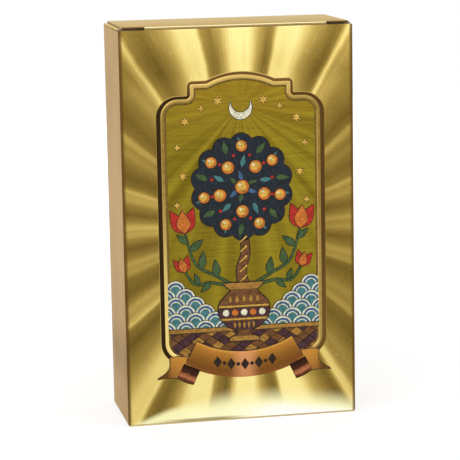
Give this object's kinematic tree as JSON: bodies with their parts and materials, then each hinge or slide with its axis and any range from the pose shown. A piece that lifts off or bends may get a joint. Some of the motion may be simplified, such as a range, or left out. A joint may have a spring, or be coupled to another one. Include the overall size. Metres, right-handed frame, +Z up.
{
  "type": "tarot card deck in tuck carton",
  "caption": "Upright tuck carton of gold foil board with a sunburst front, embossed bracket frame and ribbon, opening at the top to draw out a tarot deck and booklet.",
  "frame": {"origin": "middle of the carton's footprint, on the surface it stands on", "axes": "+Z up, front with the frame and ribbon facing -Y, +X to the right seen from the front"},
  "size_m": [0.0734, 0.0324, 0.125],
  "materials": {
    "foil_sunburst": "metallic gold foil laminate on board, pressed with sunburst rays",
    "foil_plain": "metallic gold foil laminate on board, brushed",
    "foil_satin": "satin pale gold foil laminate on board",
    "board_inside": "uncoated pale grey board",
    "card_foil": "gold foil playing-card stock with a printed back",
    "booklet_cover": "matt coated paper",
    "booklet_paper": "uncoated paper",
    "staple_wire": "galvanised wire"
  },
  "bodies": {
    "carton": {"front_panel": "foil_sunburst", "back_panel": "foil_plain", "left_side_panel": "foil_satin", "right_side_panel": "foil_satin", "glue_flap": "board_inside", "bottom_outer_flap": "foil_plain", "bottom_inner_flap": "board_inside", "bottom_dust_flap_left": "board_inside", "bottom_dust_flap_right": "board_inside"},
    "lid": {"lid_panel": "foil_plain"},
    "tuck": {"tuck_flap": "foil_plain"},
    "left_dust_flap": {"top_dust_flap_left": "foil_plain"},
    "right_dust_flap": {"top_dust_flap_right": "foil_plain"},
    "deck": {"card_major_00": "card_foil", "card_major_01": "card_foil", "card_major_02": "card_foil", "card_major_03": "card_foil", "card_major_04": "card_foil", "card_major_05": "card_foil", "card_major_06": "card_foil", "card_major_07": "card_foil", "card_major_08": "card_foil", "card_major_09": "card_foil", "card_major_10": "card_foil", "card_major_11": "card_foil", "card_major_12": "card_foil", "card_major_13": "card_foil", "card_major_14": "card_foil", "card_major_15": "card_foil", "card_major_16": "card_foil", "card_major_17": "card_foil", "card_major_18": "card_foil", "card_major_19": "card_foil", "card_major_20": "card_foil", "card_major_21": "card_foil", "card_wands_page": "card_foil", "card_wands_knight": "card_foil", "card_wands_queen": "card_foil", "card_wands_king": "card_foil", "card_cups_page": "card_foil", "card_cups_knight": "card_foil", "card_cups_queen": "card_foil", "card_cups_king": "card_foil", "card_swords_page": "card_foil", "card_swords_knight": "card_foil", "card_swords_queen": "card_foil", "card_swords_king": "card_foil", "card_pentacles_page": "card_foil", "card_pentacles_knight": "card_foil", "card_pentacles_queen": "card_foil", "card_pentacles_king": "card_foil", "cards_wands_ace_to_ten": "card_foil", "cards_cups_ace_to_ten": "card_foil", "cards_swords_ace_to_ten": "card_foil", "cards_pentacles_ace_to_ten": "card_foil"},
    "booklet": {"booklet_cover": "booklet_cover", "booklet_pages": "booklet_paper", "booklet_staples": "staple_wire"}
  },
  "joints": [
    {"name": "deck_lift", "type": "slide", "parent": "carton", "child": "deck", "axis": [0, 0, 1], "range_m": [0, 0.01152]},
    {"name": "lid_hinge", "type": "hinge", "parent": "carton", "child": "lid", "pos_m": [0, 0.01595, 0.12475], "axis": [-1, 0, 0], "range_deg": [0, 200]},
    {"name": "tuck_hinge", "type": "hinge", "parent": "lid", "child": "tuck", "pos_m": [0, -0.01488, 0.12475], "axis": [-1, 0, 0], "range_deg": [0, 40]},
    {"name": "left_dust_hinge", "type": "hinge", "parent": "carton", "child": "left_dust_flap", "pos_m": [-0.03647, 0, 0.12415], "axis": [0, -1, 0], "range_deg": [0, 180]},
    {"name": "right_dust_hinge", "type": "hinge", "parent": "carton", "child": "right_dust_flap", "pos_m": [0.03647, 0, 0.12415], "axis": [0, 1, 0], "range_deg": [0, 180]},
    {"name": "booklet_lift", "type": "slide", "parent": "carton", "child": "booklet", "axis": [0, 0, 1], "range_m": [0, 0.014]}
  ],
  "couplings": [
    {"joint": "lid_hinge", "follows": "deck_lift", "rad_per_m": 303},
    {"joint": "tuck_hinge", "follows": "deck_lift", "rad_per_m": 60.6},
    {"joint": "left_dust_hinge", "follows": "deck_lift", "rad_per_m": 272.7},
    {"joint": "right_dust_hinge", "follows": "deck_lift", "rad_per_m": 272.7}
  ]
}
